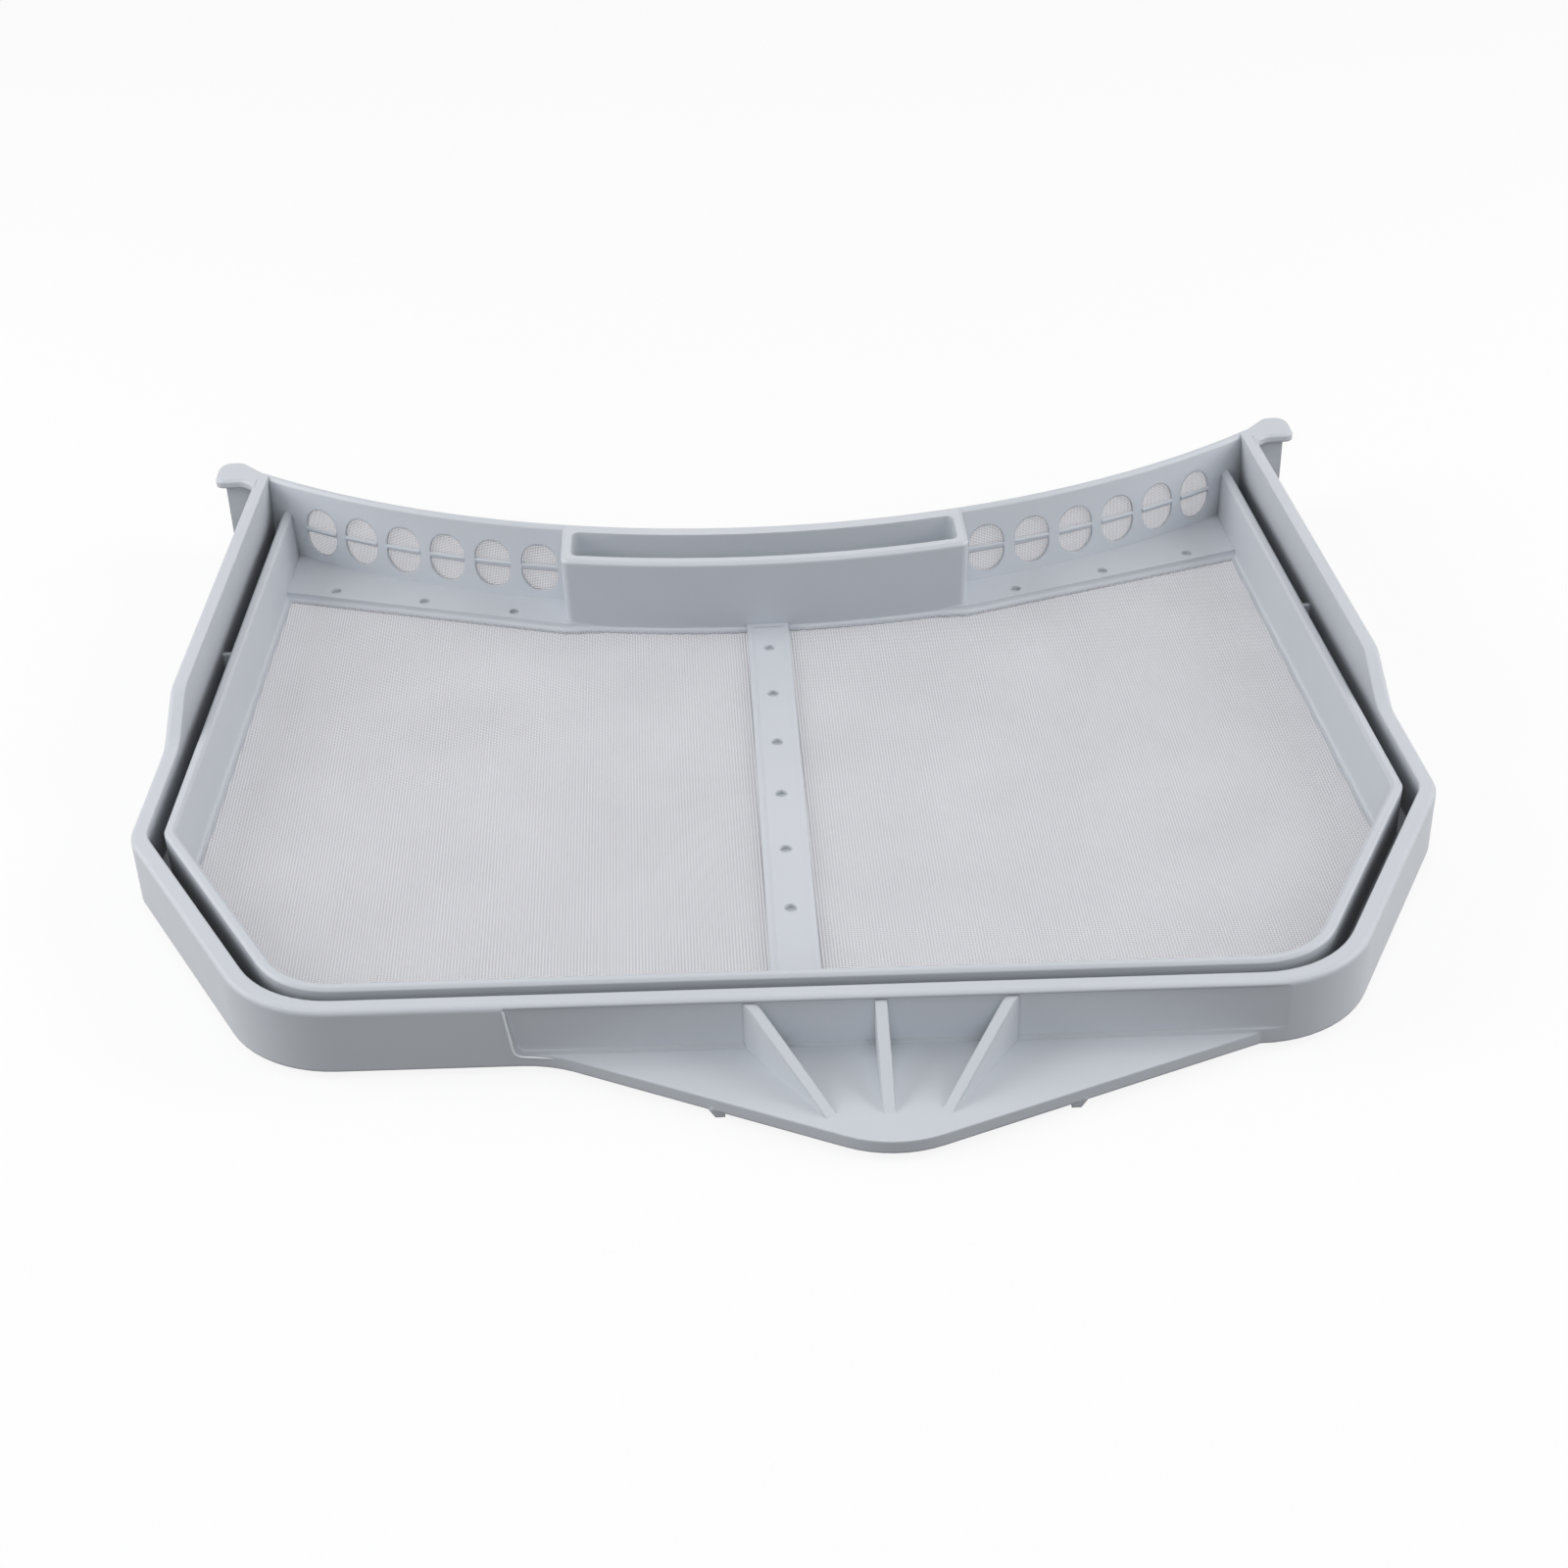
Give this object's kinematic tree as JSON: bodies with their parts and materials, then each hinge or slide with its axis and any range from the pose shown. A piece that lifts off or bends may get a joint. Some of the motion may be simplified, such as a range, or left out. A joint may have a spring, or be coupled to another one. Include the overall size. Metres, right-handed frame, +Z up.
{
  "type": "tumble dryer lint filter",
  "caption": "Shallow plastic tray with a double rim, woven mesh floor, curved back wall with a finger pocket and mesh grilles, and a flanged nose; catches lint in a dryer's air path.",
  "frame": {"origin": "centre of the bounding box's bottom, under the tray", "axes": "+Z up out of the tray, +Y towards the curved back wall, -Y towards the nose, +X along the tray's width"},
  "size_m": [0.34, 0.3084, 0.0288],
  "materials": {
    "plastic": "satin moulded grey plastic",
    "mesh": "fine plain-woven monofilament mesh"
  },
  "bodies": {
    "root": {"frame": "plastic", "floor_mesh_left": "mesh", "floor_mesh_right": "mesh", "grille_mesh_left": "mesh", "grille_mesh_right": "mesh"}
  },
  "joints": []
}
